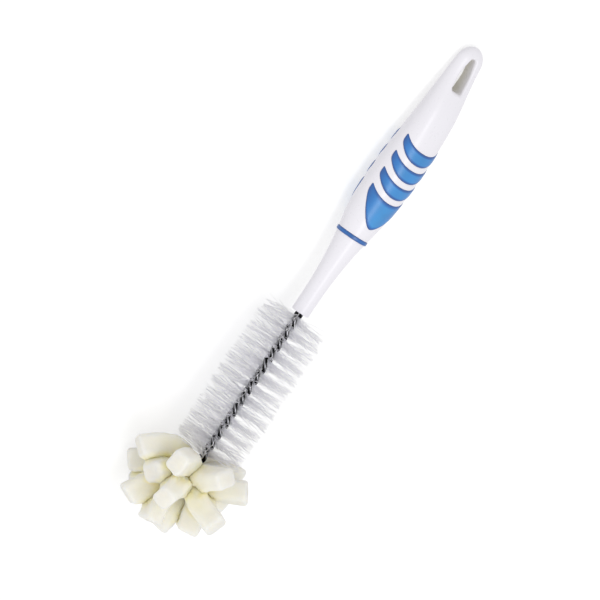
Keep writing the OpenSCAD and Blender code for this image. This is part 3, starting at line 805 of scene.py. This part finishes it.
def close_end(points, faces, base, n):
    """Closes a ring of n points from base with three shrinking rings and a middle point."""
    rim = points[base:base + n]
    middle = rim.mean(0)
    last = list(range(base, base + n))
    for shrink in (0.75, 0.45, 0.18):
        start = len(points)
        points = np.vstack([points, middle + (rim - middle) * shrink])
        ring = list(range(start, start + n))
        faces += [[last[j], last[(j + 1) % n], ring[(j + 1) % n], ring[j]] for j in range(n)]
        last = ring
    points = np.vstack([points, middle])
    faces += [[last[j], last[(j + 1) % n], len(points) - 1] for j in range(n)]
    return points, faces


def rumple(mesh):
    """Soft unevenness of cut foam: slow waves some 9 mm across and small pits of 1.5 mm."""
    normals = np.array([v.normal for v in mesh.vertices])
    points = np.array([v.co for v in mesh.vertices])
    for vertex, p, n in zip(mesh.vertices, points, normals):
        spot = Vector(p * 1000)
        rise = 0.28 * noise.noise(spot / 4.5) + 0.10 * noise.noise(spot / 0.75)
        vertex.co = Vector(p + n * (rise - 0.1) / 1000)


def tree_of(pieces):
    """All the faces of these pieces, to measure against."""
    points, faces = [], []
    for piece in pieces:
        faces += [[i + len(points) for i in f.vertices] for f in piece.data.polygons]
        points += [v.co.copy() for v in piece.data.vertices]
    return BVHTree.FromPolygons(points, faces)


def all_but(pieces, piece):
    """All the faces of every other piece."""
    return tree_of([other for other in pieces if other is not piece])


def edges_of(mesh):
    """The two points of every edge, and how many edges meet at each point."""
    links = np.array([e.vertices[:] for e in mesh.edges])
    return links, np.bincount(links.ravel(), minlength=len(mesh.vertices))


def swell_together(pieces, limit, spread, share=0.48, sight=0.009):
    """Cut foam held in a bunch opens out until it meets its neighbours.

    Each point moves nearly half of the way, and less the nearer that way comes to limit in
    millimetres. The moves are evened out over spread rounds. Lengths here are in metres."""
    # Every piece is measured as it stood before the first of them moved
    trees = [(all_but(pieces, piece), tree_of([piece])) for piece in pieces]
    for piece, (others, itself) in zip(pieces, trees):
        mesh = piece.data
        move = np.zeros(len(mesh.vertices))
        most = np.full(len(mesh.vertices), 0.004)
        sunk = np.zeros(len(mesh.vertices))
        for i, vertex in enumerate(mesh.vertices):
            away = others.ray_cast(vertex.co + vertex.normal * 1e-5, vertex.normal, sight)[3]
            if away is not None:
                move[i] = share * away * max(1 - (away * 1000 / limit)**2, 0)
                most[i] = max(0.49 * away - 5e-6, 0)
            # A point that has its neighbour closer by to one side stops before it
            spot, facing, face, close = others.find_nearest(vertex.co, 0.004)
            if close is not None:
                most[i] = min(most[i], max(0.9 * close - 1e-5, 0))
                if (vertex.co - spot).dot(facing) < 0:
                    sunk[i] = 0.6 * close + 2e-5
            # In a hollow of its own, such as between its two petals, it goes less than half way
            across = itself.ray_cast(vertex.co + vertex.normal * 1e-4, vertex.normal, sight)[3]
            if across is not None:
                most[i] = min(most[i], 0.45 * across)
        links, count = edges_of(mesh)
        here = np.array([v.co[:] for v in mesh.vertices])
        apart = np.linalg.norm(here[links[:, 0]] - here[links[:, 1]], axis=1)
        for step in range(spread):
            total = (np.bincount(links[:, 0], move[links[:, 1]], len(move))
                     + np.bincount(links[:, 1], move[links[:, 0]], len(move)))
            move = 0.5 * move + 0.5 * total / count
        move = np.minimum(move, most)
        # No point goes much further than the one beside it, so the surface never folds over
        for step in range(12):
            for one, other in ((0, 1), (1, 0)):
                np.minimum.at(move, links[:, one], move[links[:, other]] + 0.6 * apart)
        # A point that starts inside its neighbour backs out instead, by 0.6 mm at most
        move = np.where(sunk > 0, -np.minimum(sunk, 0.0006), move)
        for vertex, m in zip(mesh.vertices, move):
            vertex.co = vertex.co + vertex.normal * m
        mesh.update()


def iron(mesh):
    """Smooths the few places outside the pinch where a strip creases into itself."""
    faces = [list(f.vertices) for f in mesh.polygons]
    links, count = edges_of(mesh)
    here = np.array([v.co[:] for v in mesh.vertices])
    outer = np.linalg.norm(brush_place(here)[:, 1:], axis=1) > PINCH_ZONE
    for turn in range(6):
        tree = BVHTree.FromPolygons(here.tolist(), faces)
        crossing = [(faces[a], faces[b]) for a, b in tree.overlap(tree)]
        creased = [i for a, b in crossing if not set(a) & set(b) for i in a + b]
        near = np.zeros(len(here), bool)
        near[creased] = True
        near &= outer
        if not near.any():
            break
        # The smoothing takes in the points up to two edges away
        for step in range(2):
            touched = near[links].any(1)
            near[links[touched].ravel()] = True
        for step in range(6):
            total = np.zeros_like(here)
            np.add.at(total, links[:, 0], here[links[:, 1]])
            np.add.at(total, links[:, 1], here[links[:, 0]])
            here[near] = 0.4 * here[near] + 0.6 * (total / count[:, None])[near]
    for vertex, co in zip(mesh.vertices, here):
        vertex.co = co
    mesh.update()


def draw_apart(pieces):
    """Leaves a hair's breadth between strips that press together."""
    for turn in range(4):
        for piece in pieces:
            others = all_but(pieces, piece)
            for vertex in piece.data.vertices:
                spot, facing, face, close = others.find_nearest(vertex.co, 0.001)
                if close is not None:
                    inside = (vertex.co - spot).dot(facing) < 0
                    if inside or close < HAIR:
                        back = HAIR + (close if inside else -close)
                        vertex.co = vertex.co - vertex.normal * back
            piece.data.update()


def mark_contact(pieces):
    """Stores how far the next strip is in millimetres, for the painted warm light in the folds."""
    for piece in pieces:
        others = all_but(pieces, piece)
        near = [others.find_nearest(v.co, FARTHEST)[3] for v in piece.data.vertices]
        near = np.array([FARTHEST if d is None else d for d in near])
        store(piece, "fold_glow_from_next_strip", near * 1000)


def make_foam(k):
    """One foam strip: two soft petals that spring from where the wire pinches it."""
    first, second = petal_rings(k, 0), petal_rings(k, 1)
    # The first petal's rings run back to the wire, so both meet in one tube
    rings = np.vstack([first[::-1], second])
    n = rings.shape[1]
    shell, faces = skin(laid(rings))
    # Each end face is closed by smaller rings, so that it takes the same soft unevenness
    for base in (0, (len(rings) - 1) * n):
        shell, faces = close_end(shell, faces, base, n)
    piece = piece_of("foam_%d" % (k + 1), shell, faces)
    # How far each point is from its cut end, in millimetres, for the painted warm bounce light
    # towards the wire
    flat = brush_place(shell)
    back = [np.linalg.norm(flat - end.mean(0), axis=1) for end in (rings[0], rings[-1])]
    store(piece, "warm_bounce_from_cut_end", np.minimum(*back))
    return piece


# ---- Camera ----

# How far off the camera stands and how much a pixel covers there, in millimetres, and its pixels
FAR, PIXEL, PIXELS = 3000, 0.5326, 600


def stand(thing, right, up, back, place):
    """Puts a camera or a lamp in the scene at a place, with its own axes pointing so."""
    columns = (right, up, back, place)
    thing.matrix_world = Matrix([[c[r] for c in columns] for r in range(3)] + [[0, 0, 0, 1]])
    scene.collection.objects.link(thing)


def look():
    """Camera looking along the brush from its foam end, turned as a hand would hold it up.

    Returns the axes and the point that the lamps are set by."""
    phi, alpha, roll = (math.radians(v) for v in (36.0, 4.5, 33.9))
    x, y, z = np.eye(3)
    side_on = math.cos(phi) * z - math.sin(phi) * y
    right = math.cos(phi) * y + math.sin(phi) * z
    back = math.cos(alpha) * side_on - math.sin(alpha) * x
    up = -math.cos(alpha) * x - math.sin(alpha) * side_on
    frame_up = math.cos(roll) * up - math.sin(roll) * right
    frame_right = math.sin(roll) * up + math.cos(roll) * right
    # It aims at a point 163.9 mm along the brush and 3.7 mm to its left
    target = np.array([163.9, 0, 0]) - 3.7 * right
    camera = bpy.data.cameras.new("camera")
    camera.sensor_width, camera.lens = 36, 36 * (FAR / PIXEL) / PIXELS
    camera.clip_start, camera.clip_end = 0.1, 20
    scene.camera = bpy.data.objects.new("camera", camera)
    stand(scene.camera, turned(frame_right), turned(frame_up), turned(back),
          laid(target + FAR * back))
    return (turned(side_on), turned(right), turned(-x)), laid(target)


lamp_axes, aim = look()

# ---- Floor, world and lamps ----

def seen_rays(tree):
    """1 for rays that see the background: camera, glossy and transmission."""
    rays = add(tree, "ShaderNodeLightPath").outputs
    first = add(tree, "ShaderNodeMath", [
        (0, rays["Is Camera Ray"]), (1, rays["Is Glossy Ray"])], operation="MAXIMUM")
    both = add(tree, "ShaderNodeMath", [
        (0, first.outputs[0]), (1, rays["Is Transmission Ray"])], operation="MAXIMUM")
    return both.outputs[0]


def make_floor():
    """A round floor, 3 m in radius: seen as nearly white, and it keeps the brush's shadow."""
    mesh = bpy.data.meshes.new("floor")
    ring = [(3 * math.cos(a), 3 * math.sin(a), 0)
            for a in np.linspace(0, 2 * math.pi, 64, endpoint=False)]
    mesh.from_pydata(ring, [], [list(range(len(ring)))])
    floor = bpy.data.objects.new("floor", mesh)
    scene.collection.objects.link(floor)
    made = bpy.data.materials.new("Pale studio floor")
    made.use_nodes = True
    tree = made.node_tree
    tree.nodes.clear()
    plain = add(tree, "ShaderNodeBsdfDiffuse", [("Color", (0.8, 0.8, 0.8, 1))])
    faint = add(tree, "ShaderNodeBsdfDiffuse", [("Color", (0.42, 0.42, 0.42, 1))])
    glow = add(tree, "ShaderNodeEmission", [("Color", (1, 1, 1, 1)), ("Strength", 0.66)])
    white = add(tree, "ShaderNodeAddShader", [(0, faint.outputs[0]), (1, glow.outputs[0])])
    both = add(tree, "ShaderNodeMixShader", [
        (0, seen_rays(tree)), (1, plain.outputs[0]), (2, white.outputs[0])])
    add(tree, "ShaderNodeOutputMaterial", [("Surface", both.outputs[0])])
    mesh.materials.append(made)


def make_world():
    """An even white room: it lights at 0.70 and is seen at 1."""
    world = bpy.data.worlds.new("studio")
    scene.world = world
    world.use_nodes = True
    tree = world.node_tree
    tree.nodes.clear()
    room = add(tree, "ShaderNodeBackground", [("Color", (1, 1, 1, 1)), ("Strength", 0.70)])
    white = add(tree, "ShaderNodeBackground", [("Color", (1, 1, 1, 1)), ("Strength", 1.0)])
    both = add(tree, "ShaderNodeMixShader", [
        (0, seen_rays(tree)), (1, room.outputs[0]), (2, white.outputs[0])])
    add(tree, "ShaderNodeOutputWorld", [("Surface", both.outputs[0])])


def lamp(name, swing, along, distance, size, power):
    """A soft lamp swung round the brush from the main view, and moved towards the hanging end."""
    a = math.radians(swing)
    side_on, right, end = lamp_axes
    way = unit(math.cos(a) * side_on + math.sin(a) * right + along * end)
    light = bpy.data.lights.new(name, "AREA")
    light.shape, light.energy = "RECTANGLE", power
    light.size, light.size_y = size
    across = unit(np.cross(end, way))
    stand(bpy.data.objects.new(name, light), across, np.cross(way, across), way,
          aim + way * distance)


make_floor()
make_world()
lamp("softbox", 29, -0.1, 1.5, (0.36, 1.5), 7.2)
lamp("end_fill", -35, -1.3, 1.5, (0.7, 0.7), 2.2)

# ---- The brush ----

plastic, rubber, steel, nylon, foam = (
    gloss_polypropylene(), soft_elastomer(), bright_wire(), nylon_filament(), cut_foam())


def dress(piece, finish, slot, *nodes):
    """Gives a piece its finish, its body and the nodes that it stands for."""
    if finish.name not in piece.data.materials:
        piece.data.materials.append(finish)
    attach(piece, "root")
    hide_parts(*nodes)


dress(make_handle(), plastic, "handle_plastic", "handle")
dress(make_ring(), rubber, "grip_rubber", "neck_ring")
for i in PADS:
    for turn, face in ((0, "front"), (180, "back")):
        pad = pad_solid("pad_%s_%d" % (face, i), i, turn)
        dress(pad, rubber, "grip_rubber", "grip_pad_%s_%d" % (face, i))
dress(make_wire(steel), steel, "wire_steel", "wire_stem")
dress(make_bristles(nylon), nylon, "nylon", "bristles")
strips = [make_foam(k) for k in range(STRIPS)]
for strip in strips:
    rumple(strip.data)
for limit, spread in ((8.0, 5), (5.0, 4), (3.5, 2), (2.5, 1), (2.0, 1)):
    swell_together(strips, limit, spread)
    for strip in strips:
        iron(strip.data)
draw_apart(strips)
mark_contact(strips)
for k, strip in enumerate(strips):
    dress(strip, foam, "foam", "foam_strip_%d" % (k + 1))

scene.view_settings.view_transform = "Standard"
